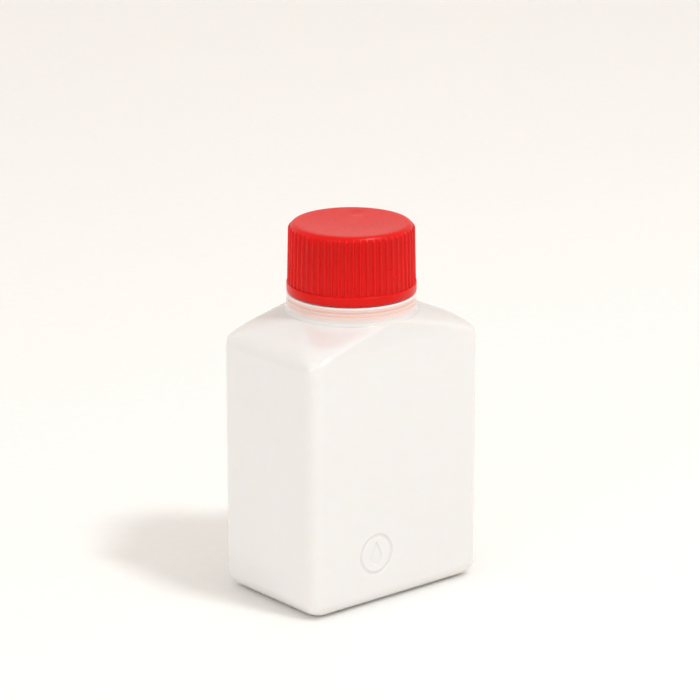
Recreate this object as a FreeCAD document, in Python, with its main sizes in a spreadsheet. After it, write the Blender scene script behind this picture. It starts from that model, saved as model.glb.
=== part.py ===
import FreeCAD, Part
import math
import os
import Sketcher

# Rectangular plastic reagent bottle with a ribbed screw cap.
# Millimetres, +Z up. The origin is the centre of the standing face, on the neck axis.
# +X runs along the wide faces, and the front wide face looks along -Y.

SIZES = {
    # outer shell of the bottle
    "body_width": 51.3,
    "body_depth": 33.8,
    "wall": 1.2,
    "floor_thickness": 2.0,
    "corner_radius": 2.4,
    "heel_radius": 3.6,
    "base_edge_radius": 3.0,
    "block_height": 50.0,
    # shoulder: from the rectangular body up to a round ring under the collar
    "eave_height": 63.4,
    "eave_radius": 4.6,
    "ring_height": 67.8,
    "ring_radius": 15.8,
    "wide_lean_start": 1.0,
    "corner_growth_start": 1.5,
    "cavity_eave_share": 0.8,
    # recess under the base
    "recess_margin": 6.4,
    "recess_depth": 0.7,
    "seam_width": 0.7,
    "seam_length": 30.0,
    # round emblem pressed into the front face
    "emblem_offset": -6.5,
    "emblem_height": 12.6,
    "emblem_radius": 4.6,
    "emblem_line": 0.6,
    "drop_radius": 1.7,
    "drop_tip": 3.1,
    "drop_centre_below": 0.7,
    "emblem_depth": 0.25,
    # collar and neck
    "flare_height": 68.7,
    "collar_foot_radius": 15.35,
    "collar_step_height": 69.6,
    "collar_radius": 15.2,
    "collar_groove_height": 70.7,
    "collar_groove_depth": 0.15,
    "collar_groove_width": 0.3,
    "collar_top": 72.0,
    "collar_lip": 0.25,
    "neck_radius": 12.55,
    "neck_bore_radius": 11.2,
    "rim_height": 86.2,
    "rim_round": 0.3,
    "funnel_top": 68.8,
    "funnel_root": 1.0,
    "funnel_inset": 0.4,
    "neck_root_depth": 2.0,
    "neck_root_inset": 1.0,
    "cut_overrun": 1.0,
    # screw thread, right hand, one start
    "thread_pitch": 4.233,
    "thread_turns": 1.5,
    "neck_thread_start": 76.6,
    "neck_thread_crest_radius": 13.7,
    "neck_thread_foot_half": 1.1,
    "neck_thread_crest_half": 0.4,
    "cap_thread_lift": 0.45,
    "cap_thread_crest_radius": 12.8,
    "cap_thread_foot_half": 0.95,
    "cap_thread_crest_half": 0.35,
    "thread_root": 0.2,
    # cap
    "cap_base": 72.3,
    "hem_radius": 15.25,
    "hem_height": 2.2,
    "hem_round": 0.25,
    "cap_bore_radius": 13.95,
    "skirt_foot_radius": 14.75,
    "skirt_head_radius": 14.5,
    "cap_top": 88.6,
    "cap_edge_radius": 1.3,
    "dish_radius": 12.2,
    "dish_depth": 0.4,
    "crown_underside": 87.15,
    "rib_count": 56,
    "rib_width": 0.5,
    "rib_foot_radius": 15.12,
    "rib_head_radius": 14.92,
    "rib_head_height": 86.6,
    "rib_end_height": 88.0,
    "rib_root": 0.35,
    "bead_radius": 13.3,
    "bead_foot": 85.2,
    "bead_crest_foot": 0.28,
    "bead_crest_top": 0.49,
    "bead_height": 0.7,
    # sealing disc inside the crown
    "liner_radius": 13.6,
    "liner_bottom": 86.1,
    "liner_thickness": 1.0,
    "liner_groove_depth": 0.2,
    "liner_groove_play": 0.3,
}
SHEET_NAME = "sizes"
EAVE_ARC_STEPS = 5
NEAR = 1e-4


def make_sheet(doc):
    """Driving dimensions: one named cell per size."""
    sheet = doc.addObject("Spreadsheet::Sheet", SHEET_NAME)
    for row, (name, size) in enumerate(SIZES.items(), 1):
        sheet.set(f"A{row}", name.replace("_", " "))
        sheet.set(f"B{row}", str(size))
        sheet.setAlias(f"B{row}", name)
    doc.recompute()
    return sheet


def bound(formula):
    """The formula with each size's name pointing at its cell."""
    words = formula.replace("(", "( ").replace(")", " )").split()
    return " ".join(f"{SHEET_NAME}.{word}" if word in SIZES else word for word in words)


def number(sheet, formula):
    """The formula's present value."""
    return float(sheet.evalExpression(bound(formula)))


def bind(feature, name, formula):
    feature.setExpression(name, bound(formula))


def origin_feature(body, role):
    return next(f for f in body.Origin.OriginFeatures if f.Role == role)


def new_body(doc, label):
    body = doc.addObject("PartDesign::Body", label)
    body.Label = label
    return body


def new_sketch(body, name, plane):
    sketch = body.newObject("Sketcher::SketchObject", name)
    sketch.AttachmentSupport = [(origin_feature(body, plane), "")]
    sketch.MapMode = "FlatFace"
    return sketch


def pin_point(sketch, sheet, line, end, name, across, up):
    """Hold one end of a line at (across, up), each bound to its formula."""
    for kind, axis, formula in (("DistanceX", -2, across), ("DistanceY", -1, up)):
        if formula == "0":
            sketch.addConstraint(Sketcher.Constraint("PointOnObject", line, end, axis))
            continue
        index = sketch.addConstraint(Sketcher.Constraint(kind, line, end, number(sheet, formula)))
        label = f"{name}_{kind[-1].lower()}"
        sketch.renameConstraint(index, label)
        sketch.setExpression(f"Constraints.{label}", bound(formula))


def polygon_sketch(body, sheet, name, corners, plane="XZ_Plane"):
    """Closed outline through corners, each a pair of formulas in the sketch's plane."""
    sketch = new_sketch(body, name, plane)
    points = [FreeCAD.Vector(number(sheet, a), number(sheet, b), 0) for a, b in corners]
    count = len(points)
    for i in range(count):
        sketch.addGeometry(Part.LineSegment(points[i], points[(i + 1) % count]), False)
    for i in range(count):
        sketch.addConstraint(Sketcher.Constraint("Coincident", i, 2, (i + 1) % count, 1))
    for i, (across, up) in enumerate(corners):
        pin_point(sketch, sheet, i, 1, f"p{i}", across, up)
    return sketch


def add_pad(body, sketch, name, length):
    """Pad by half the length to each side of the sketch's plane."""
    pad = body.newObject("PartDesign::Pad", name)
    pad.Profile = sketch
    bind(pad, "Length", length)
    pad.Midplane = True
    return pad


def add_revolution(body, sketch, name):
    turned = body.newObject("PartDesign::Revolution", name)
    turned.Profile = sketch
    turned.ReferenceAxis = (sketch, ["V_Axis"])
    turned.Angle = 360
    return turned


def add_helix(body, sketch, name):
    """Right-hand ridge that climbs from the sketch by the thread's pitch."""
    ridge = body.newObject("PartDesign::AdditiveHelix", name)
    ridge.Profile = sketch
    ridge.ReferenceAxis = (sketch, ["V_Axis"])
    ridge.Mode = "pitch-turns-angle"
    bind(ridge, "Pitch", "thread_pitch")
    bind(ridge, "Turns", "thread_turns")
    ridge.LeftHanded = False
    return ridge


def edge_names(shape, wanted):
    return [f"Edge{i}" for i, edge in enumerate(shape.Edges, 1) if wanted(edge)]


def ends(edge):
    return edge.valueAt(edge.FirstParameter), edge.valueAt(edge.LastParameter)


def circle_at(radius, height):
    """Test for a whole or part circle about the Z axis."""
    def test(edge):
        points = [*ends(edge), edge.valueAt((edge.FirstParameter + edge.LastParameter) / 2)]
        return all(
            abs(p.z - height) < NEAR and abs(math.hypot(p.x, p.y) - radius) < NEAR for p in points
        )
    return test


def add_fillet(doc, body, base, name, wanted, radius):
    doc.recompute()
    fillet = body.newObject("PartDesign::Fillet", name)
    fillet.Base = (base, edge_names(base.Shape, wanted))
    bind(fillet, "Radius", radius)
    return fillet


def fuse(doc, name, pieces):
    joined = doc.addObject("Part::MultiFuse", name)
    joined.Shapes = pieces
    return joined


def cut(doc, name, base, tool):
    result = doc.addObject("Part::Cut", name)
    result.Base = base
    result.Tool = tool
    return result


def make_block(doc, sheet, label, inset):
    """Straight lower body: what three pads share, one along each axis.

    The pad along Y has the round heels of the narrow sides, the pad along X the softer base edges
    of the wide faces, and the pad along Z the upright corners. inset is "0" for the outside and
    the wall for the cavity.
    """
    floor = "0" if inset == "0" else "floor_thickness"
    width = f"body_width / 2 - {inset}"
    depth = f"body_depth / 2 - {inset}"
    base = number(sheet, floor)
    pads = []
    for part, plane, axis, half, low, high, reach in (
        ("heel", "XZ_Plane", "y", width, floor, "block_height", depth),
        ("base_edge", "YZ_Plane", "x", depth, floor, "block_height", width),
        ("corner", "XY_Plane", "z", width, f"-1 * ({depth})", depth, "block_height"),
    ):
        body = new_body(doc, f"{label}_{part}_block")
        corners = [(f"-1 * ({half})", low), (half, low), (half, high), (f"-1 * ({half})", high)]
        outline = polygon_sketch(body, sheet, f"{label}_{part}_outline", corners, plane)
        pad = add_pad(body, outline, f"{label}_{part}_pad", f"2 * ({reach})")
        wanted = upright if part == "corner" else level_at(base, axis)
        add_fillet(doc, body, pad, f"{label}_{part}_rounds", wanted, f"{part}_radius - {inset}")
        pads.append(body)
    block = doc.addObject("Part::MultiCommon", f"{label}_block")
    block.Shapes = pads
    return block


def upright(edge):
    """Test for an edge along Z."""
    first, last = ends(edge)
    return math.hypot(first.x - last.x, first.y - last.y) < NEAR


def level_at(height, axis):
    """Test for a level edge at one height that runs along X or Y."""
    def test(edge):
        first, last = ends(edge)
        at_height = max(abs(first.z - height), abs(last.z - height)) < NEAR
        return at_height and abs(getattr(first, axis) - getattr(last, axis)) > NEAR
    return test


def rounded_rectangle(half_width, half_depth, corner, height):
    """Closed wire of four corner arcs and four straight sides."""
    arcs = []
    for quarter in range(4):
        sign_x = 1 if quarter in (0, 3) else -1
        sign_y = 1 if quarter in (0, 1) else -1
        centre = FreeCAD.Vector(sign_x * (half_width - corner), sign_y * (half_depth - corner), height)
        start = quarter * math.pi / 2
        turns = (start, start + math.pi / 4, start + math.pi / 2)
        arcs.append([centre + FreeCAD.Vector(math.cos(t), math.sin(t), 0) * corner for t in turns])
    edges = []
    for quarter, arc in enumerate(arcs):
        edges.append(Part.Arc(*arc).toShape())
        following = arcs[(quarter + 1) % 4]
        edges.append(Part.LineSegment(arc[2], following[0]).toShape())
    return Part.Wire(edges)


def make_shoulder(doc, sheet, label, inset):
    """Shoulder from the rectangle of the body to the round ring under the collar.

    Each level is a rounded rectangle whose corners grow until it is nearly a circle. The narrow
    sides turn in over an arc and then slope straight up to the ring.
    """
    half_width = number(sheet, f"body_width / 2 - {inset}")
    half_depth = number(sheet, f"body_depth / 2 - {inset}")
    ring = number(sheet, f"ring_radius - {inset}")
    ring_height = number(sheet, f"ring_height - {inset}")
    eave = number(sheet, f"eave_height - {inset} * cavity_eave_share")
    turn_radius = number(sheet, f"eave_radius - {inset}")
    corner = number(sheet, f"corner_radius - {inset}")
    lean_start = eave - number(sheet, "wide_lean_start")
    corner_start = eave - number(sheet, "corner_growth_start")
    slope = math.atan2(ring_height - eave, half_width - ring)
    tangent = turn_radius * math.tan((math.pi / 2 - slope) / 2)
    arc_foot = eave - tangent
    arc_head = eave + tangent * math.sin(slope)
    least_side = 0.25

    def width_at(z):
        if z <= arc_foot:
            return half_width
        if z < arc_head:
            return half_width - turn_radius + math.sqrt(turn_radius**2 - (z - arc_foot) ** 2)
        return half_width - (z - eave) / math.tan(slope)

    def grown(z, first, last, start):
        share = max(0.0, (z - start) / (ring_height - start))
        return first + (last - first) * share

    steps = EAVE_ARC_STEPS
    levels = [number(sheet, "block_height")]
    levels += [arc_foot + (arc_head - arc_foot) * i / steps for i in range(steps + 1)]
    levels += [(arc_head + ring_height) / 2, ring_height]
    wires = []
    for z in levels:
        across = width_at(z)
        deep = grown(z, half_depth, ring, lean_start)
        round_to = min(across, deep) - least_side
        wires.append(rounded_rectangle(across, deep, min(grown(z, corner, ring, corner_start), round_to), z))
    shoulder = doc.addObject("Part::Feature", f"{label}_shoulder")
    shoulder.Shape = Part.makeLoft(wires, True, True)
    return shoulder


def make_neck(doc, sheet):
    """Collar with its foot flare and rings, and the neck above it, as one turned solid."""
    body = new_body(doc, "neck_blank")
    groove = "collar_radius - collar_groove_depth"
    corners = [
        ("0", "ring_height - neck_root_depth"),
        ("ring_radius - neck_root_inset", "ring_height - neck_root_depth"),
        ("ring_radius", "ring_height"),
        ("collar_foot_radius", "flare_height"),
        ("collar_foot_radius", "collar_step_height"),
        ("collar_radius", "collar_step_height + collar_groove_depth"),
        ("collar_radius", "collar_groove_height - collar_groove_width"),
        (groove, "collar_groove_height"),
        ("collar_radius", "collar_groove_height + collar_groove_width"),
        ("collar_radius", "collar_top - collar_lip"),
        ("collar_radius - collar_lip", "collar_top"),
        ("neck_radius", "collar_top"),
        ("neck_radius", "rim_height"),
        ("0", "rim_height"),
    ]
    outline = polygon_sketch(body, sheet, "neck_outline", corners)
    turned = add_revolution(body, outline, "neck_turned")
    rim = circle_at(number(sheet, "neck_radius"), number(sheet, "rim_height"))
    add_fillet(doc, body, turned, "rim_outer_round", rim, "rim_round")
    return body


def thread_profile(body, sheet, name, foot, crest, middle, foot_half, crest_half):
    """Trapezoid section of a thread ridge, its foot sunk into the wall it stands on."""
    corners = [
        (foot, f"{middle} - {foot_half}"),
        (crest, f"{middle} - {crest_half}"),
        (crest, f"{middle} + {crest_half}"),
        (foot, f"{middle} + {foot_half}"),
    ]
    return polygon_sketch(body, sheet, name, corners)


def make_neck_thread(doc, sheet):
    """Ridge round the neck, each end run out to nothing by a tangent cut."""
    body = new_body(doc, "neck_thread_ridge")
    profile = thread_profile(
        body, sheet, "neck_thread_profile", "neck_radius - thread_root", "neck_thread_crest_radius",
        "neck_thread_start", "neck_thread_foot_half", "neck_thread_crest_half",
    )
    add_helix(body, profile, "neck_thread_helix")
    pitch = number(sheet, "thread_pitch")
    first = number(sheet, "neck_thread_start")
    turns = number(sheet, "thread_turns")
    radius = number(sheet, "neck_radius")
    ridge = body
    for name, turn in (("start", 0.0), ("end", turns)):
        box = doc.addObject("Part::Box", f"neck_thread_{name}_cut")
        for side in ("Length", "Width"):
            bind(box, side, "neck_radius")
        bind(box, "Height", "thread_pitch")
        angle = math.degrees(turn * 2 * math.pi)
        away = FreeCAD.Vector(radius, -radius / 2, first + turn * pitch - pitch / 2)
        spin = FreeCAD.Rotation(FreeCAD.Vector(0, 0, 1), angle)
        box.Placement = FreeCAD.Placement(spin.multVec(away), spin)
        ridge = cut(doc, f"neck_thread_{name}_faded", ridge, box)
    return ridge


def make_bore(doc, sheet):
    """Way out of the cavity: a cone under the collar and the straight bore of the neck."""
    body = new_body(doc, "bore_core")
    corners = [
        ("0", "ring_height - wall - funnel_root"),
        ("ring_radius - wall - funnel_inset", "ring_height - wall - funnel_root"),
        ("ring_radius - wall - funnel_inset", "ring_height - wall"),
        ("neck_bore_radius", "funnel_top"),
        ("neck_bore_radius", "rim_height - rim_round"),
        ("neck_bore_radius + rim_round", "rim_height"),
        ("neck_bore_radius + rim_round", "rim_height + cut_overrun"),
        ("0", "rim_height + cut_overrun"),
    ]
    outline = polygon_sketch(body, sheet, "bore_outline", corners)
    add_revolution(body, outline, "bore_turned")
    return body


def make_base_recess(doc, sheet):
    """Shallow recess under the base, which leaves a flat rim to stand on and a seam rib."""
    recess = doc.addObject("Part::Box", "base_recess")
    bind(recess, "Length", "body_width - 2 * recess_margin")
    bind(recess, "Width", "body_depth - 2 * recess_margin")
    bind(recess, "Height", "recess_depth + cut_overrun")
    bind(recess, "Placement.Base.x", "recess_margin - body_width / 2")
    bind(recess, "Placement.Base.y", "recess_margin - body_depth / 2")
    bind(recess, "Placement.Base.z", "-1 * cut_overrun")
    doc.recompute()
    softened = doc.addObject("Part::Fillet", "base_recess_softened")
    softened.Base = recess
    inner = number(sheet, "recess_depth")
    softened.Edges = [
        (i, inner, inner) for i, edge in enumerate(recess.Shape.Edges, 1)
        if max(p.z for p in ends(edge)) > 0
    ]
    seam = doc.addObject("Part::Box", "base_seam")
    bind(seam, "Length", "seam_length")
    bind(seam, "Width", "seam_width")
    bind(seam, "Height", "recess_depth")
    bind(seam, "Placement.Base.x", "seam_length / -2")
    bind(seam, "Placement.Base.y", "seam_width / -2")
    bind(seam, "Placement.Base.z", "recess_depth / 2")
    return softened, seam


def hold_radius(sketch, sheet, curve, name, formula):
    index = sketch.addConstraint(Sketcher.Constraint("Radius", curve, number(sheet, formula)))
    sketch.renameConstraint(index, name)
    sketch.setExpression(f"Constraints.{name}", bound(formula))


def add_drop(sketch, sheet, first):
    """Drop outline: an arc for the bulb and two straight sides that meet at the tip."""
    radius = number(sheet, "drop_radius")
    across = number(sheet, "emblem_offset")
    centre = FreeCAD.Vector(across, number(sheet, "emblem_height - drop_centre_below"), 0)
    tip = FreeCAD.Vector(across, number(sheet, "emblem_height + drop_tip"), 0)
    open_half = math.acos(radius / (tip.y - centre.y))
    start = math.pi / 2 + open_half
    stop = 5 * math.pi / 2 - open_half
    left = centre + FreeCAD.Vector(math.cos(start), math.sin(start), 0) * radius
    right = centre + FreeCAD.Vector(math.cos(stop), math.sin(stop), 0) * radius
    circle = Part.Circle(centre, FreeCAD.Vector(0, 0, 1), radius)
    bulb, rising, falling = first, first + 1, first + 2
    sketch.addGeometry(Part.ArcOfCircle(circle, start, stop), False)
    sketch.addGeometry(Part.LineSegment(right, tip), False)
    sketch.addGeometry(Part.LineSegment(tip, left), False)
    sketch.addConstraint(Sketcher.Constraint("Tangent", bulb, 2, rising, 1))
    sketch.addConstraint(Sketcher.Constraint("Coincident", rising, 2, falling, 1))
    sketch.addConstraint(Sketcher.Constraint("Tangent", falling, 2, bulb, 1))
    pin_point(sketch, sheet, bulb, 3, "bulb", "emblem_offset", "emblem_height - drop_centre_below")
    pin_point(sketch, sheet, rising, 2, "tip", "emblem_offset", "emblem_height + drop_tip")
    hold_radius(sketch, sheet, bulb, "bulb_radius", "drop_radius")


def make_emblem(doc, sheet):
    """Generic mark to press into the front face: a round groove with a plain drop inside it."""
    body = new_body(doc, "emblem")
    sketch = new_sketch(body, "emblem_outline", "XZ_Plane")
    middle = FreeCAD.Vector(number(sheet, "emblem_offset"), number(sheet, "emblem_height"), 0)
    for curve, sign in enumerate(("+", "-")):
        formula = f"emblem_radius {sign} emblem_line / 2"
        sketch.addGeometry(Part.Circle(middle, FreeCAD.Vector(0, 0, 1), number(sheet, formula)), False)
        pin_point(sketch, sheet, curve, 3, f"ring{curve}", "emblem_offset", "emblem_height")
        hold_radius(sketch, sheet, curve, f"ring{curve}_radius", formula)
    add_drop(sketch, sheet, 2)
    add_pad(body, sketch, "emblem_pad", "2 * emblem_depth")
    bind(body, "Placement.Base.y", "body_depth / -2")
    return body


def make_bottle(doc, sheet):
    """One hollow blow-moulded piece: body, shoulder, collar and threaded neck."""
    recess, seam = make_base_recess(doc, sheet)
    recessed = cut(doc, "block_recessed", make_block(doc, sheet, "outside", "0"), recess)
    marked = cut(doc, "block_marked", fuse(doc, "block_seamed", [recessed, seam]), make_emblem(doc, sheet))
    upper = [make_shoulder(doc, sheet, "outside", "0"), make_neck(doc, sheet), make_neck_thread(doc, sheet)]
    cavity = [make_block(doc, sheet, "cavity", "wall"), make_shoulder(doc, sheet, "cavity", "wall")]
    solid = fuse(doc, "bottle_solid", [marked, *upper])
    hollow = fuse(doc, "bottle_hollow", [*cavity, make_bore(doc, sheet)])
    bottle = cut(doc, "bottle", solid, hollow)
    bottle.Label = "bottle"
    return bottle


def make_cap(doc, sheet):
    """Ribbed cap: plain hem, drafted skirt with ribs, dished crown, bead and inner thread."""
    body = new_body(doc, "screw_cap")
    corners = [
        ("cap_bore_radius", "cap_base"),
        ("hem_radius", "cap_base"),
        ("hem_radius", "cap_base + hem_height"),
        ("skirt_foot_radius", "cap_base + hem_height"),
        ("skirt_head_radius", "cap_top"),
        ("dish_radius", "cap_top"),
        ("0", "cap_top - dish_depth"),
        ("0", "crown_underside"),
        ("cap_bore_radius", "crown_underside"),
        ("cap_bore_radius", "bead_foot + bead_height"),
        ("bead_radius", "bead_foot + bead_crest_top"),
        ("bead_radius", "bead_foot + bead_crest_foot"),
        ("cap_bore_radius", "bead_foot"),
    ]
    section = polygon_sketch(body, sheet, "cap_section", corners)
    turned = add_revolution(body, section, "cap_turned")
    edge = circle_at(number(sheet, "skirt_head_radius"), number(sheet, "cap_top"))
    crown = add_fillet(doc, body, turned, "crown_edge", edge, "cap_edge_radius")
    hem_circles = [
        circle_at(number(sheet, "hem_radius"), number(sheet, height))
        for height in ("cap_base", "cap_base + hem_height")
    ]
    add_fillet(doc, body, crown, "hem_edges", lambda e: any(test(e) for test in hem_circles), "hem_round")
    add_ribs(doc, body, sheet)
    profile = thread_profile(
        body, sheet, "cap_thread_profile", "cap_bore_radius + thread_root", "cap_thread_crest_radius",
        "neck_thread_start - thread_pitch / 2 + cap_thread_lift",
        "cap_thread_foot_half", "cap_thread_crest_half",
    )
    add_helix(body, profile, "cap_thread_helix")
    return body


def add_ribs(doc, body, sheet):
    """Grip ribs: one upright rib, repeated round the skirt."""
    foot = "skirt_head_radius - rib_root"
    corners = [
        (foot, "cap_base + hem_height / 2"),
        ("rib_foot_radius", "cap_base + hem_height / 2"),
        ("rib_head_radius", "rib_head_height"),
        (foot, "rib_end_height"),
    ]
    outline = polygon_sketch(body, sheet, "rib_outline", corners)
    rib = add_pad(body, outline, "rib", "rib_width")
    doc.recompute()
    ribs = body.newObject("PartDesign::PolarPattern", "ribs")
    ribs.Originals = [rib]
    ribs.Axis = (origin_feature(body, "Z_Axis"), [""])
    ribs.Angle = 360
    bind(ribs, "Occurrences", "rib_count")
    body.Tip = ribs


def make_liner(doc, sheet):
    """Soft disc that seals on the rim, with the ring that the rim has pressed into it."""
    body = new_body(doc, "cap_liner")
    top = "liner_bottom + liner_thickness"
    groove = "liner_bottom + liner_groove_depth"
    corners = [
        ("0", "liner_bottom"),
        ("neck_bore_radius - liner_groove_play", "liner_bottom"),
        ("neck_bore_radius - liner_groove_play", groove),
        ("neck_radius + liner_groove_play", groove),
        ("neck_radius + liner_groove_play", "liner_bottom"),
        ("liner_radius", "liner_bottom"),
        ("liner_radius", top),
        ("0", top),
    ]
    outline = polygon_sketch(body, sheet, "liner_outline", corners)
    add_revolution(body, outline, "liner_turned")
    return body


def check(doc, nodes):
    """Stop on any failed feature, and on any node that isn't a sound solid."""
    for feature in doc.Objects:
        if "Invalid" in feature.State or "Error" in feature.State:
            raise RuntimeError(f"{feature.Name} failed: {feature.State}")
    for node in nodes:
        shape = node.Shape
        if shape.isNull() or not shape.isValid() or shape.Volume <= 0:
            raise RuntimeError(f"{node.Label} has no valid shape")
        box = shape.BoundBox
        print(
            f"{node.Label}: {len(shape.Solids)} solid, {shape.Volume / 1000:.2f} cm3,"
            f" z {box.ZMin:.2f} to {box.ZMax:.2f}, x {box.XLength:.2f}, y {box.YLength:.2f}"
        )


def main():
    doc = FreeCAD.newDocument("square_bottle")
    sheet = make_sheet(doc)
    nodes = [make_bottle(doc, sheet), make_cap(doc, sheet), make_liner(doc, sheet)]
    doc.recompute()
    check(doc, nodes)
    os.makedirs("parts", exist_ok=True)
    for node in nodes:
        node.Shape.exportStep(os.path.join("parts", f"{node.Label}.step"))


main()
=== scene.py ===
import math

import bpy
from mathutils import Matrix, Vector


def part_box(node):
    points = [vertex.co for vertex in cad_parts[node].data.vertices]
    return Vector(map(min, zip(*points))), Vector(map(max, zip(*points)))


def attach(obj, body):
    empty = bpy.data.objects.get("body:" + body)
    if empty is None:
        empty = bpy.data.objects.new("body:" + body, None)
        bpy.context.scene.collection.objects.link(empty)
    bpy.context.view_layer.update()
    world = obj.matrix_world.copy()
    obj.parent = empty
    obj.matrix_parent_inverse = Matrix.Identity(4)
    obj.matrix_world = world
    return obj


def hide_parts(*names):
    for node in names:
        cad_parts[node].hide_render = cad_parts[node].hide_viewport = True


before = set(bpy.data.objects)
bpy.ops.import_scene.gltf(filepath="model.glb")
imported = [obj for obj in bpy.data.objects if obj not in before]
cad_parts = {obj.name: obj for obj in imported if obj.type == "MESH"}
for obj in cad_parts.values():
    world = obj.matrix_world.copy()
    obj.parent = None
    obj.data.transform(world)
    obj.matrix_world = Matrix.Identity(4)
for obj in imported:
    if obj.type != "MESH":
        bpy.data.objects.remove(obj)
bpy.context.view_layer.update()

# Rectangular plastic reagent bottle with a ribbed red screw cap, in metres.
# Lengths below are written in millimetres and scaled by MM where a mesh is made.
MM = 0.001

_, bottle_high = [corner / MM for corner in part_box("bottle")]
cap_low, cap_high = [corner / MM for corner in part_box("screw_cap")]
liner_low, liner_high = [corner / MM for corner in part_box("cap_liner")]


# ---------------------------------------------------------------- shared shape helpers

ARC_STEPS = 4
KINK_SHARE = 0.12


def clamp(value):
    return min(1.0, max(0.0, value))


def smooth(value):
    value = clamp(value)
    return value * value * (3 - 2 * value)


def spread(first, last, step):
    """Values from first to last, evenly spaced by about step."""
    count = max(1, round(abs(last - first) / step))
    return [first + (last - first) * i / count for i in range(count + 1)]


def rounded_path(points):
    """Open path through (across, height, corner radius) points, each corner turned by its radius."""
    path = []
    for i, (x, z, radius) in enumerate(points):
        here = Vector((x, z))
        if i in (0, len(points) - 1) or radius <= 0:
            path.append(here)
            continue
        back = Vector(points[i - 1][:2]) - here
        ahead = Vector(points[i + 1][:2]) - here
        half = back.angle(ahead) / 2
        reach = min(radius / math.tan(half), back.length * 0.49, ahead.length * 0.49)
        turned = reach * math.tan(half)
        start = here + back.normalized() * reach
        stop = here + ahead.normalized() * reach
        middle = (back.normalized() + ahead.normalized()).normalized()
        centre = here + middle * (turned / math.sin(half))
        for step in range(ARC_STEPS + 1):
            ray = (start - centre).lerp(stop - centre, step / ARC_STEPS)
            path.append(centre + ray.normalized() * turned)
    return path


def densified(path, longest):
    """The path with long stretches divided."""
    dense = [path[0]]
    for here, there in zip(path, path[1:]):
        pieces = max(1, math.ceil((there - here).length / longest))
        dense += [here.lerp(there, i / pieces) for i in range(1, pieces + 1)]
    return dense


class Skin:
    """Mesh built from closed rings of equal length, joined one to the next."""

    def __init__(self):
        self.points = []
        self.faces = []
        self.last = None

    def ring(self, points):
        first = len(self.points)
        self.points += points
        here = list(range(first, len(self.points)))
        if self.last is not None:
            self.join(self.last, here)
        self.last = here

    def join(self, low, high):
        if len(low) == 1:
            low = low * len(high)
        if len(high) == 1:
            high = high * len(low)
        for i in range(len(low)):
            j = (i + 1) % len(low)
            face = [low[i], low[j], high[j], high[i]]
            self.faces.append([v for k, v in enumerate(face) if v != face[k - 1]])

    def cap(self, point):
        """Close the last ring, or start the first, at one point."""
        self.points.append(point)
        here = [len(self.points) - 1]
        if self.last is not None:
            self.join(self.last, here)
        self.last = here

    def made(self, name, material):
        mesh = bpy.data.meshes.new(name)
        mesh.from_pydata([tuple(c * MM for c in p) for p in self.points], [], self.faces)
        mesh.validate()
        mesh.polygons.foreach_set("use_smooth", [True] * len(mesh.polygons))
        mesh.materials.append(material)
        mesh.update()
        piece = bpy.data.objects.new(name, mesh)
        bpy.context.scene.collection.objects.link(piece)
        return piece


def thread_height(angle, z, start, foot_half, crest_half):
    """Share of a thread ridge's full height at a point of the wall, 0 to 1."""
    best = 0.0
    turn = angle / math.tau
    while turn <= THREAD_TURNS:
        away = abs(z - (start + THREAD_PITCH * turn))
        flank = smooth((foot_half - away) / (foot_half - crest_half))
        run = smooth(turn / THREAD_FADE) * smooth((THREAD_TURNS - turn) / THREAD_FADE)
        best = max(best, flank * run)
        turn += 1
    return best


# ---------------------------------------------------------------- materials

NOISE_ROUGHNESS = 0.55


def new_material(name):
    material = bpy.data.materials.new(name)
    material.use_nodes = True
    tree = material.node_tree
    return material, tree, tree.nodes["Principled BSDF"]


def noise(tree, scale, detail=3.0):
    place = tree.nodes.new("ShaderNodeTexCoord")
    texture = tree.nodes.new("ShaderNodeTexNoise")
    texture.inputs["Scale"].default_value = scale
    texture.inputs["Detail"].default_value = detail
    texture.inputs["Roughness"].default_value = NOISE_ROUGHNESS
    tree.links.new(place.outputs["Object"], texture.inputs["Vector"])
    return texture.outputs["Fac"]


def ramp(tree, source, stops):
    node = tree.nodes.new("ShaderNodeValToRGB")
    tree.links.new(source, node.inputs["Fac"])
    (first, first_colour), (last, last_colour) = stops[0], stops[-1]
    node.color_ramp.elements[0].position = first
    node.color_ramp.elements[0].color = first_colour
    node.color_ramp.elements[1].position = last
    node.color_ramp.elements[1].color = last_colour
    for position, colour in stops[1:-1]:
        node.color_ramp.elements.new(position).color = colour
    return node.outputs["Color"]


def bump(tree, layers, shader):
    """Stack (height, strength, distance) layers into the shader's normal."""
    normal = None
    for height, strength, distance in layers:
        node = tree.nodes.new("ShaderNodeBump")
        node.inputs["Strength"].default_value = strength
        node.inputs["Distance"].default_value = distance
        tree.links.new(height, node.inputs["Height"])
        if normal is not None:
            tree.links.new(normal, node.inputs["Normal"])
        normal = node.outputs["Normal"]
    tree.links.new(normal, shader.inputs["Normal"])


def height_of(tree):
    """Height above the floor in metres, as the object's own Z."""
    place = tree.nodes.new("ShaderNodeTexCoord")
    split = tree.nodes.new("ShaderNodeSeparateXYZ")
    tree.links.new(place.outputs["Object"], split.inputs["Vector"])
    return split.outputs["Z"]


def rescaled(tree, source, low, high):
    node = tree.nodes.new("ShaderNodeMapRange")
    node.inputs["From Min"].default_value = low
    node.inputs["From Max"].default_value = high
    tree.links.new(source, node.inputs["Value"])
    return node.outputs["Result"]


def multiplied(tree, first, second):
    node = tree.nodes.new("ShaderNodeMix")
    node.data_type = "RGBA"
    node.blend_type = "MULTIPLY"
    node.inputs["Factor"].default_value = 1.0
    tree.links.new(first, node.inputs["A"])
    tree.links.new(second, node.inputs["B"])
    return node.outputs["Result"]


def grey(value):
    return (value, value, value, 1.0)


PAINTED_CAP_LIGHT_HEIGHTS = (0.060, 0.076)


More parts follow.
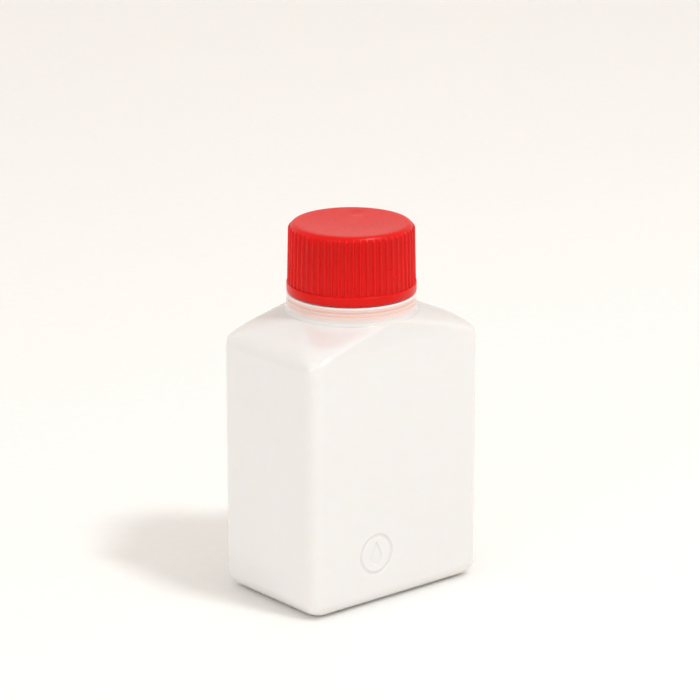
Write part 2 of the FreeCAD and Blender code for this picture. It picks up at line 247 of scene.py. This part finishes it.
def polyethylene():
    """Natural high-density polyethylene: milky and faintly grained, with painted red light from the cap
    on the collar and on the shoulder below it.
    """
    material, tree, shader = new_material("natural_polyethylene")
    cloud = noise(tree, 260.0, 4.0)
    milk = ramp(tree, cloud, [(0.3, (0.806, 0.800, 0.792, 1)), (0.7, (0.814, 0.809, 0.802, 1))])
    # painted red light from the cap: a pink tint set by height over the shoulder and collar, which stays
    # when the cap is lifted
    up = rescaled(tree, height_of(tree), *PAINTED_CAP_LIGHT_HEIGHTS)
    none = (1.0, 1.0, 1.0, 1)
    painted_cap_light = ramp(tree, up, [
        (0.0, none),
        (0.42, (0.955, 0.945, 0.94, 1)),
        (0.53, (0.965, 0.935, 0.925, 1)),
        (0.61, (0.985, 0.73, 0.67, 1)),
        (0.71, (0.985, 0.71, 0.65, 1)),
        (0.735, none),
    ])
    tree.links.new(multiplied(tree, milk, painted_cap_light), shader.inputs["Base Color"])
    grain = noise(tree, 2600.0, 2.0)
    tree.links.new(ramp(tree, grain, [(0.3, grey(0.10)), (0.7, grey(0.15))]), shader.inputs["Roughness"])
    shader.inputs["IOR"].default_value = 1.53
    shader.inputs["Specular IOR Level"].default_value = 0.6
    shader.inputs["Coat Weight"].default_value = 0.5
    shader.inputs["Coat Roughness"].default_value = 0.06
    shader.inputs["Subsurface Weight"].default_value = 1.0
    shader.inputs["Subsurface Radius"].default_value = (1.0, 0.8, 0.65)
    shader.inputs["Subsurface Scale"].default_value = 0.0012
    waviness = noise(tree, 60.0, 1.0)
    bump(tree, [(waviness, 0.06, 0.0006), (grain, 0.15, 0.00005)], shader)
    return material


def polypropylene():
    """Satin red polypropylene with faint flow marks."""
    material, tree, shader = new_material("red_polypropylene")
    cloud = noise(tree, 120.0)
    colour = ramp(tree, cloud, [(0.3, (0.645, 0.0028, 0.0012, 1)), (0.7, (0.70, 0.0038, 0.002, 1))])
    tree.links.new(colour, shader.inputs["Base Color"])
    grain = noise(tree, 1900.0, 2.0)
    tree.links.new(ramp(tree, grain, [(0.3, grey(0.27)), (0.7, grey(0.36))]), shader.inputs["Roughness"])
    shader.inputs["IOR"].default_value = 1.49
    shader.inputs["Specular IOR Level"].default_value = 0.2
    shader.inputs["Subsurface Weight"].default_value = 0.5
    shader.inputs["Subsurface Radius"].default_value = (1.0, 0.08, 0.05)
    shader.inputs["Subsurface Scale"].default_value = 0.003
    waviness = noise(tree, 150.0, 1.0)
    bump(tree, [(waviness, 0.10, 0.0004), (grain, 0.20, 0.00005)], shader)
    return material


def foam():
    """White foam sheet with fine open cells."""
    material, tree, shader = new_material("liner_foam")
    cells = noise(tree, 1500.0, 3.0)
    colour = ramp(tree, cells, [(0.35, (0.72, 0.71, 0.68, 1)), (0.65, (0.84, 0.83, 0.80, 1))])
    tree.links.new(colour, shader.inputs["Base Color"])
    shader.inputs["Roughness"].default_value = 0.85
    bump(tree, [(cells, 0.5, 0.00015)], shader)
    return material


# ---------------------------------------------------------------- bottle

HALF_WIDTH = bottle_high.x
HALF_DEPTH = bottle_high.y
RIM = bottle_high.z
WALL = 1.2
FLOOR = 2.0
# radii of the upright corners, of the foot under the narrow sides and of the foot under the wide faces
CORNER = 2.8
HEEL = 4.2
BASE_EDGE = 3.6
RIM_FACE_INSET = 0.3
RECESS_MARGIN = 6.4
RECESS_DEPTH = 0.7
RECESS_CORNER = 1.4
RECESS_MIDDLE_CORNER = 1.0
SEAM_HALF_LENGTH = 15.0
SEAM_HALF_WIDTH = 0.35
SEAM_TOP = 0.8
SEAM_LOW = 0.35
# height at which the narrow sides turn into the shoulder slope, and the radius of that turn
EAVE = 63.4
EAVE_RADIUS = 6.4
BODY_HEAD = 56.0
SHOULDER_FOOT = 57.0
RING_HEIGHT = 67.8
RING_RADIUS = 15.8
COLLAR_TOP = 72.0
NECK_RADIUS = 12.55
NECK_CREST = 13.7
NECK_RIDGE_FOOT = 1.1
NECK_RIDGE_CREST = 0.4
BORE_RADIUS = 11.2
THREAD_PITCH = 4.233
THREAD_TURNS = 1.5
THREAD_START = 76.6
THREAD_FADE = 0.06
EMBLEM_X = -6.5
EMBLEM_Z = 12.6
EMBLEM_RADIUS = 4.6
EMBLEM_DEPTH = 0.25
EMBLEM_WINDOW = 5.2
EMBLEM_STEP = 0.16
EMBLEM_LINE = 0.42
EMBLEM_BLUR = 0.24
DROP_RADIUS = 1.7
DROP_TIP = 3.1
DROP_BELOW = 0.7
COLUMN_STEP = 1.1
SIDE_COLUMN_STEP = 1.5
CORNER_COLUMNS = 11


def rounded_rectangle_at(angle, half_width, half_depth, corner):
    """Distance from the axis to a rounded rectangle's edge, in one direction."""
    across, deep = abs(math.cos(angle)), abs(math.sin(angle))
    if deep * half_width <= across * (half_depth - corner):
        return half_width / across
    if across * half_depth <= deep * (half_width - corner):
        return half_depth / deep
    x, y = half_width - corner, half_depth - corner
    along = x * across + y * deep
    return along + math.sqrt(max(0.0, along * along - x * x - y * y + corner * corner))


def column_angles():
    """Directions of the bottle's mesh columns: close at the corners and over the emblem."""
    front = spread(-HALF_WIDTH + CORNER, EMBLEM_X - EMBLEM_WINDOW, COLUMN_STEP)[:-1]
    front += spread(EMBLEM_X - EMBLEM_WINDOW, EMBLEM_X + EMBLEM_WINDOW, EMBLEM_STEP)[:-1]
    front += spread(EMBLEM_X + EMBLEM_WINDOW, HALF_WIDTH - CORNER, COLUMN_STEP)
    back = spread(HALF_WIDTH - CORNER, -HALF_WIDTH + CORNER, COLUMN_STEP)
    side = spread(-HALF_DEPTH + CORNER, HALF_DEPTH - CORNER, SIDE_COLUMN_STEP)
    angles = [math.atan2(-HALF_DEPTH, x) for x in front]
    angles += [math.atan2(y, HALF_WIDTH) for y in side]
    angles += [math.atan2(HALF_DEPTH, x) for x in back]
    angles += [math.atan2(y, -HALF_WIDTH) for y in reversed(side)]
    for sign_x, sign_y in ((1, -1), (1, 1), (-1, 1), (-1, -1)):
        for step in range(1, CORNER_COLUMNS):
            turn = math.pi / 2 * step / CORNER_COLUMNS
            x = sign_x * (HALF_WIDTH - CORNER + CORNER * math.cos(turn))
            y = sign_y * (HALF_DEPTH - CORNER + CORNER * math.sin(turn))
            angles.append(math.atan2(y, x))
    return sorted({round(a % math.tau, 6) for a in angles})


ANGLES = column_angles()


def section(half_width, half_depth, corner, z):
    corner = min(corner, half_width, half_depth)
    ring = []
    for angle in ANGLES:
        reach = rounded_rectangle_at(angle, half_width, half_depth, corner)
        ring.append((reach * math.cos(angle), reach * math.sin(angle), z))
    return ring


def circle(radius, z, swell=None):
    ring = []
    for angle in ANGLES:
        reach = radius + (swell(angle, z) if swell else 0.0)
        ring.append((reach * math.cos(angle), reach * math.sin(angle), z))
    return ring


def soft_ramp(share):
    """0 below zero and the share above it, with the kink rounded over."""
    if share <= -KINK_SHARE:
        return 0.0
    if share < KINK_SHARE:
        return (share + KINK_SHARE) ** 2 / (4 * KINK_SHARE)
    return share


def shoulder_section(z, inset):
    """(half width, half depth, corner radius) of the body and shoulder at a height."""
    half_width = HALF_WIDTH - inset
    half_depth = HALF_DEPTH - inset
    ring = RING_RADIUS - inset
    ring_height = RING_HEIGHT - inset
    eave = EAVE - inset * 0.8
    turn = EAVE_RADIUS - inset
    slope = math.atan2(ring_height - eave, half_width - ring)
    tangent = turn * math.tan((math.pi / 2 - slope) / 2)
    foot = eave - tangent
    head = eave + tangent * math.sin(slope)
    if z <= foot:
        across = half_width
    elif z < head:
        across = half_width - turn + math.sqrt(turn ** 2 - (z - foot) ** 2)
    else:
        across = half_width - (z - eave) / math.tan(slope)
    lean = soft_ramp((z - eave + 1.0) / (ring_height - eave + 1.0))
    grown = soft_ramp((z - eave + 1.5) / (ring_height - eave + 1.5))
    deep = half_depth + (ring - half_depth) * lean
    corner = (CORNER - inset) + (ring - CORNER + inset) * grown
    return across, deep, corner


def base_section(z, inset, floor):
    """(half width, half depth, corner radius) of the rounded foot at a height above its floor."""
    half_width = HALF_WIDTH - inset
    half_depth = HALF_DEPTH - inset
    heel = HEEL - inset
    edge = BASE_EDGE - inset
    up = z - floor
    across = half_width - heel + math.sqrt(heel ** 2 - max(0.0, heel - up) ** 2)
    deep = half_depth - edge + math.sqrt(edge ** 2 - max(0.0, edge - up) ** 2)
    return across, deep, CORNER - inset


def emblem_mask(x, z):
    """Share of the emblem's depth at a point of the front face: a ring with a drop inside."""
    away = math.hypot(x - EMBLEM_X, z - EMBLEM_Z)
    line = smooth((EMBLEM_LINE - abs(away - EMBLEM_RADIUS)) / EMBLEM_BLUR)
    bulb_z = EMBLEM_Z - DROP_BELOW
    tip_z = EMBLEM_Z + DROP_TIP
    side = abs(x - EMBLEM_X)
    to_bulb = math.hypot(side, z - bulb_z) - DROP_RADIUS
    reach = tip_z - bulb_z
    half_open = math.asin(DROP_RADIUS / reach)
    to_side = side * math.cos(half_open) - (tip_z - z) * math.sin(half_open)
    touch = bulb_z + DROP_RADIUS * math.sin(half_open)
    to_drop = to_side if z > touch else to_bulb
    return max(line, smooth((EMBLEM_BLUR / 2 - to_drop) / EMBLEM_BLUR))


def front_pressed(ring):
    """The ring of points with the emblem pressed into the front wide face."""
    pressed = []
    for x, y, z in ring:
        if y < -HALF_DEPTH + 0.3 and abs(x - EMBLEM_X) < EMBLEM_WINDOW:
            y += EMBLEM_DEPTH * emblem_mask(x, z)
        pressed.append((x, y, z))
    return pressed


def neck_swell(angle, z):
    full = NECK_CREST - NECK_RADIUS
    return full * thread_height(angle, z, THREAD_START, NECK_RIDGE_FOOT, NECK_RIDGE_CREST)


def build_bottle():
    skin = Skin()
    # recess under the base, from its middle out to the flat rim it stands on
    recess_across = HALF_WIDTH - RECESS_MARGIN
    recess_deep = HALF_DEPTH - RECESS_MARGIN
    skin.cap((0, 0, RECESS_DEPTH))
    for share in (0.2, 0.5, 0.8):
        skin.ring(section(recess_across * share, recess_deep * share, RECESS_MIDDLE_CORNER, RECESS_DEPTH))
    for step in range(5):
        turn = math.pi / 2 * step / 4
        inward = RECESS_DEPTH * (1 - math.sin(turn))
        height = RECESS_DEPTH * math.cos(turn)
        skin.ring(section(recess_across - inward, recess_deep - inward, RECESS_CORNER - inward, height))
    # rounded foot, straight body and shoulder
    across, deep, corner = base_section(0.0, 0.0, 0.0)
    skin.ring(section(across - RIM_FACE_INSET, deep - RIM_FACE_INSET, corner, 0.0))
    turns = [math.pi / 2 * i / 14 for i in range(15)]
    foot_levels = {round(HEEL * (1 - math.cos(t)), 4) for t in turns}
    foot_levels |= {0.15, 0.4, 0.7, 1.05, BASE_EDGE}
    for z in sorted(foot_levels):
        skin.ring(section(*base_section(z, 0.0, 0.0), z))
    emblem_low, emblem_high = EMBLEM_Z - EMBLEM_WINDOW, EMBLEM_Z + EMBLEM_WINDOW
    levels = spread(HEEL, emblem_low, 0.9)[1:-1]
    levels += spread(emblem_low, emblem_high, EMBLEM_STEP)
    levels += spread(emblem_high, BODY_HEAD, 2.5)[1:]
    for z in levels:
        skin.ring(front_pressed(section(HALF_WIDTH, HALF_DEPTH, CORNER, z)))
    for z in spread(SHOULDER_FOOT, RING_HEIGHT - 0.2, 0.22):
        skin.ring(section(*shoulder_section(z, 0.0), z))
    # collar with its foot flare, rings and lip, then the threaded neck
    collar = rounded_path([
        (RING_RADIUS + 0.02, RING_HEIGHT - 0.1, 0),
        (RING_RADIUS - 0.02, RING_HEIGHT + 0.12, 0.15),
        (15.42, 68.45, 0.35),
        (15.35, 69.55, 0.12),
        (15.2, 69.75, 0.12),
        (15.2, 70.4, 0.1),
        (15.02, 70.7, 0.12),
        (15.2, 71.0, 0.1),
        (15.2, COLLAR_TOP, 0.25),
        (NECK_RADIUS, COLLAR_TOP, 0.3),
        (NECK_RADIUS, COLLAR_TOP + 2.0, 0),
    ])
    for radius, z in densified(collar, 1.0):
        skin.ring(circle(radius, z))
    for z in spread(COLLAR_TOP + 2.25, 84.6, 0.25):
        skin.ring(circle(NECK_RADIUS, z, neck_swell))
    # rim, bore and the way down into the cavity
    rim = rounded_path([
        (NECK_RADIUS, 84.8, 0),
        (NECK_RADIUS, RIM, 0.35),
        (BORE_RADIUS, RIM, 0.35),
        (BORE_RADIUS, 68.8, 1.0),
        (14.2, 66.7, 0.4),
        (14.6, 66.45, 0),
    ])
    for radius, z in densified(rim, 1.6):
        skin.ring(circle(radius, z))
    for z in spread(66.2, SHOULDER_FOOT, 0.6):
        skin.ring(section(*shoulder_section(z, WALL), z))
    for z in spread(54.0, FLOOR + HEEL, 4.0):
        skin.ring(section(HALF_WIDTH - WALL, HALF_DEPTH - WALL, CORNER - WALL, z))
    inner_heel = HEEL - WALL
    for step in range(8):
        z = FLOOR + inner_heel * (1 - math.sin(math.pi / 2 * step / 8))
        skin.ring(section(*base_section(z, WALL, FLOOR), z))
    across, deep, corner = base_section(FLOOR, WALL, FLOOR)
    for share in (1.0, 0.7, 0.35):
        skin.ring(section(across * share, deep * share, corner, FLOOR))
    skin.cap((0, 0, FLOOR))
    skin.last = None
    add_seam(skin)
    return skin


def add_seam(skin):
    """Pinched seam across the recess: a low tapered rib."""
    outline = [(SEAM_HALF_LENGTH, SEAM_HALF_WIDTH), (-SEAM_HALF_LENGTH, SEAM_HALF_WIDTH)]
    outline += [(-SEAM_HALF_LENGTH, -SEAM_HALF_WIDTH), (SEAM_HALF_LENGTH, -SEAM_HALF_WIDTH)]
    skin.ring([(x, y, SEAM_TOP) for x, y in outline])
    skin.ring([(x, y, SEAM_LOW + 0.12) for x, y in outline])
    skin.ring([(x * 0.992, y * 0.55, SEAM_LOW) for x, y in outline])
    skin.cap((0, 0, SEAM_LOW))
    skin.last = None


# ---------------------------------------------------------------- cap

CAP_FOOT = cap_low.z
CAP_TOP = cap_high.z
HEM_RADIUS = cap_high.x
HEM_HEIGHT = 2.2
SKIRT_FOOT = 14.75
SKIRT_HEAD = 14.4
CAP_BORE = 13.95
CAP_RIDGE_RADIUS = 12.8
CAP_RIDGE_FOOT = 0.95
CAP_RIDGE_CREST = 0.35
CAP_RIDGE_SHIFT = 0.45
BEAD_RADIUS = 13.3
CROWN_UNDERSIDE = 87.15
EDGE_RADIUS = 1.3
DISH_RADIUS = 12.2
DISH_DEPTH = 0.4
RIBS = 56
RIB_CIRCLE = 15.0
RIB_HALF_WIDTH = 0.36
RIB_FLANK = 0.24
RIB_FOOT_RADIUS = 15.12
RIB_HEAD_RADIUS = 14.82
RIB_HEAD = 87.4
RIB_END = 88.42
RIB_END_RADIUS = 13.75
DIMPLE_X, DIMPLE_Y, DIMPLE_RADIUS, DIMPLE_DEPTH = 6.3, 5.8, 2.4, 0.16


def cap_columns():
    """(angle, share of a rib's height) of each mesh column round the cap."""
    half_pitch = math.pi * RIB_CIRCLE / RIBS
    offsets = [0.0, 0.13, 0.21, 0.28, RIB_HALF_WIDTH, 0.5, 0.68]
    columns = []
    for rib in range(RIBS):
        middle = math.tau * rib / RIBS
        for side in (-1, 1):
            for offset in offsets:
                if side < 0 and offset == 0.0:
                    continue
                share = smooth((RIB_HALF_WIDTH - offset) / RIB_FLANK)
                columns.append((middle + side * offset / RIB_CIRCLE, share))
        columns.append((middle + half_pitch / RIB_CIRCLE, 0.0))
    return sorted(columns)


CAP_COLUMNS = cap_columns()


def rib_line(z):
    """Radius of the rib crests at a height."""
    if z <= RIB_HEAD:
        share = (z - CAP_FOOT) / (RIB_HEAD - CAP_FOOT)
        return RIB_FOOT_RADIUS + (RIB_HEAD_RADIUS - RIB_FOOT_RADIUS) * share
    if z > RIB_END:
        return 0.0
    share = (z - RIB_HEAD) / (RIB_END - RIB_HEAD)
    return RIB_HEAD_RADIUS + (RIB_END_RADIUS - RIB_HEAD_RADIUS) * share


def cap_outer_ring(radius, z):
    ring = []
    rise = max(0.0, rib_line(z) - radius)
    for angle, share in CAP_COLUMNS:
        reach = radius + rise * share
        ring.append((reach * math.cos(angle), reach * math.sin(angle), z))
    return ring


def crown_ring(radius, z):
    """Ring of the dished top, with the small round dent left by the moulding gate."""
    ring = []
    for angle, _ in CAP_COLUMNS:
        x, y = radius * math.cos(angle), radius * math.sin(angle)
        away = math.hypot(x - DIMPLE_X, y - DIMPLE_Y) / DIMPLE_RADIUS
        ring.append((x, y, z - DIMPLE_DEPTH * smooth(1.15 - away)))
    return ring


def cap_inner_ring(radius, z, threaded):
    ring = []
    for angle, _ in CAP_COLUMNS:
        reach = radius
        if threaded:
            start = THREAD_START - THREAD_PITCH / 2 + CAP_RIDGE_SHIFT
            full = CAP_BORE - CAP_RIDGE_RADIUS
            reach -= full * thread_height(angle % math.tau, z, start, CAP_RIDGE_FOOT, CAP_RIDGE_CREST)
        ring.append((reach * math.cos(angle), reach * math.sin(angle), z))
    return ring


def build_cap():
    skin = Skin()
    # crown, from the middle of the dish out to its rim
    skin.cap((0, 0, CAP_TOP - DISH_DEPTH))
    for radius in (0.6, 2.0, *spread(3.5, DISH_RADIUS - 0.2, 0.55)):
        share = radius / DISH_RADIUS
        skin.ring(crown_ring(radius, CAP_TOP - DISH_DEPTH * (1 - share ** 2.2)))
    for beyond in (0.3, 0.7):
        skin.ring(crown_ring(DISH_RADIUS + beyond, CAP_TOP))
    # rounded edge, ribbed skirt and plain hem
    edge_x, edge_z = SKIRT_HEAD - EDGE_RADIUS, CAP_TOP - EDGE_RADIUS
    for step in range(11):
        turn = math.pi / 2 * (1 - step / 10)
        radius = edge_x + EDGE_RADIUS * math.cos(turn)
        skin.ring(cap_outer_ring(radius, edge_z + EDGE_RADIUS * math.sin(turn)))
    hem_top = CAP_FOOT + HEM_HEIGHT
    for z in [87.15, 86.8, 86.3, *spread(85.5, hem_top + 0.5, 1.5)]:
        share = (z - hem_top) / (edge_z - hem_top)
        skin.ring(cap_outer_ring(SKIRT_FOOT + (SKIRT_HEAD - SKIRT_FOOT) * clamp(share), z))
    hem = rounded_path([
        (SKIRT_FOOT, hem_top + 0.3, 0),
        (SKIRT_FOOT, hem_top, 0.1),
        (HEM_RADIUS, hem_top, 0.2),
        (HEM_RADIUS, CAP_FOOT, 0.25),
        (CAP_BORE, CAP_FOOT, 0.2),
        (CAP_BORE, CAP_FOOT + 1.0, 0),
    ])
    for radius, z in densified(hem, 0.9):
        outside = radius > SKIRT_FOOT - 0.01
        skin.ring(cap_outer_ring(radius, z) if outside else cap_inner_ring(radius, z, False))
    # bore with its thread, the bead that holds the liner, and the crown's underside
    for z in spread(CAP_FOOT + 1.2, 83.0, 0.27):
        skin.ring(cap_inner_ring(CAP_BORE, z, True))
    inside = rounded_path([
        (CAP_BORE, 84.0, 0),
        (CAP_BORE, 85.2, 0.2),
        (BEAD_RADIUS, 85.45, 0.12),
        (BEAD_RADIUS, 85.7, 0.12),
        (CAP_BORE, 85.9, 0.1),
        (CAP_BORE, CROWN_UNDERSIDE, 0.25),
        (0.6, CROWN_UNDERSIDE, 0),
    ])
    for radius, z in densified(inside, 3.0):
        skin.ring(cap_inner_ring(radius, z, False))
    skin.cap((0, 0, CROWN_UNDERSIDE))
    return skin


# ---------------------------------------------------------------- liner

LINER_MIDDLE = 0.8
LINER_COLUMNS = 120
GROOVE_DEPTH = 0.2


def build_liner():
    """Disc with a shallow ring groove where the neck's rim seals."""
    skin = Skin()
    low, high, radius = liner_low.z, liner_high.z, liner_high.x
    groove = low + GROOVE_DEPTH
    path = rounded_path([
        (LINER_MIDDLE, low, 0),
        (10.9, low, 0.12),
        (11.05, groove, 0.08),
        (12.7, groove, 0.08),
        (12.85, low, 0.12),
        (radius, low, 0.15),
        (radius, high, 0.15),
        (LINER_MIDDLE, high, 0),
    ])
    columns = [math.tau * i / LINER_COLUMNS for i in range(LINER_COLUMNS)]
    skin.cap((0, 0, low))
    for across, z in densified(path, 1.5):
        skin.ring([(across * math.cos(a), across * math.sin(a), z) for a in columns])
    skin.cap((0, 0, high))
    return skin


bottle = build_bottle().made("bottle_shell", polyethylene())
cap = build_cap().made("cap_shell", polypropylene())
liner = build_liner().made("liner_disc", foam())
for piece, body, node, slot in (
    (bottle, "bottle", "bottle", "natural_polyethylene"),
    (cap, "cap", "screw_cap", "red_polypropylene"),
    (liner, "liner", "cap_liner", "liner_foam"),
):
    bpy.context.view_layer.objects.active = piece
    bpy.ops.object.select_all(action="DESELECT")
    piece.select_set(True)
    bpy.ops.object.mode_set(mode="EDIT")
    bpy.ops.mesh.select_all(action="SELECT")
    bpy.ops.mesh.normals_make_consistent(inside=False)
    bpy.ops.object.mode_set(mode="OBJECT")
    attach(piece, body)
    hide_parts(node)


# ---------------------------------------------------------------- studio

VIEW_AZIMUTH = math.radians(-40.0)
VIEW_ELEVATION = math.radians(17.2)
VIEW_DISTANCE = 0.846
VIEW_AIM = Vector((-0.00027, 0.000227, 0.05737))
VIEW_LENS = 185.1

ahead = Vector((-math.sin(VIEW_AZIMUTH), math.cos(VIEW_AZIMUTH), 0))
rightward = Vector((math.cos(VIEW_AZIMUTH), math.sin(VIEW_AZIMUTH), 0))
back = -ahead * math.cos(VIEW_ELEVATION) + Vector((0, 0, math.sin(VIEW_ELEVATION)))


def build_backdrop():
    """Pale sweep: a floor that curves up into a wall well behind the object."""
    material, tree, shader = new_material("studio_paper")
    fibre = noise(tree, 400.0, 4.0)
    colour = ramp(tree, fibre, [(0.3, (0.90, 0.885, 0.86, 1)), (0.7, (0.92, 0.905, 0.88, 1))])
    tree.links.new(colour, shader.inputs["Base Color"])
    shader.inputs["Roughness"].default_value = 0.9
    shader.inputs["Specular IOR Level"].default_value = 0.2
    shader.inputs["Subsurface Weight"].default_value = 1.0
    shader.inputs["Subsurface Radius"].default_value = (1.0, 0.95, 0.9)
    shader.inputs["Subsurface Scale"].default_value = 0.006
    bump(tree, [(fibre, 0.05, 0.0002)], shader)
    curve_start, curve_radius, half_span = 1.8, 0.9, 3.2
    profile = [(-2.6, 0.0), (-1.0, 0.0), (0.0, 0.0), (1.0, 0.0)]
    profile += [
        (curve_start + curve_radius * math.sin(t), curve_radius * (1 - math.cos(t)))
        for t in (math.pi / 2 * i / 24 for i in range(25))
    ]
    profile.append((curve_start + curve_radius, 2.6))
    points, faces = [], []
    for away, height in profile:
        for side in (-half_span, half_span):
            points.append(ahead * away + rightward * side + Vector((0, 0, height)))
    for i in range(len(profile) - 1):
        faces.append([2 * i, 2 * i + 1, 2 * i + 3, 2 * i + 2])
    mesh = bpy.data.meshes.new("backdrop")
    mesh.from_pydata([tuple(p) for p in points], [], faces)
    mesh.polygons.foreach_set("use_smooth", [True] * len(mesh.polygons))
    mesh.materials.append(material)
    mesh.update()
    sweep = bpy.data.objects.new("backdrop", mesh)
    bpy.context.scene.collection.objects.link(sweep)
    return sweep


def add_light(name, direction, distance, size, watts, colour, aim=Vector((0, 0, 0.04))):
    """Round area light in a direction and at a distance from its aim, facing it."""
    light = bpy.data.lights.new(name, "AREA")
    light.shape = "DISK"
    light.size = size
    light.energy = watts
    light.color = colour
    lamp = bpy.data.objects.new(name, light)
    lamp.location = aim + Vector(direction).normalized() * distance
    lamp.rotation_euler = (aim - lamp.location).to_track_quat("-Z", "Y").to_euler()
    bpy.context.scene.collection.objects.link(lamp)


def build_world():
    world = bpy.data.worlds.new("studio")
    world.use_nodes = True
    sky = world.node_tree.nodes["Background"]
    sky.inputs["Color"].default_value = (1.0, 0.945, 0.90, 1)
    sky.inputs["Strength"].default_value = 0.85
    bpy.context.scene.world = world


build_backdrop()
build_world()
add_light("key", (0.14, -0.55, 0.96), 0.95, 0.14, 3.3, (0.95, 0.985, 1.0))
add_light("left_fill", (-0.95, -0.25, 0.35), 0.9, 0.5, 1.0, (0.94, 0.98, 1.0))
add_light("wash", (0, 0, 1), 0.7, 0.6, 0.35, (1.0, 0.98, 0.97), ahead * 0.85)

camera_data = bpy.data.cameras.new("camera")
camera_data.lens = VIEW_LENS
camera_data.sensor_width = 36.0
camera = bpy.data.objects.new("camera", camera_data)
camera.location = VIEW_AIM + back * VIEW_DISTANCE
camera.rotation_euler = (-back).to_track_quat("-Z", "Y").to_euler()
bpy.context.scene.collection.objects.link(camera)
bpy.context.scene.camera = camera
bpy.context.scene.view_settings.view_transform = "Standard"
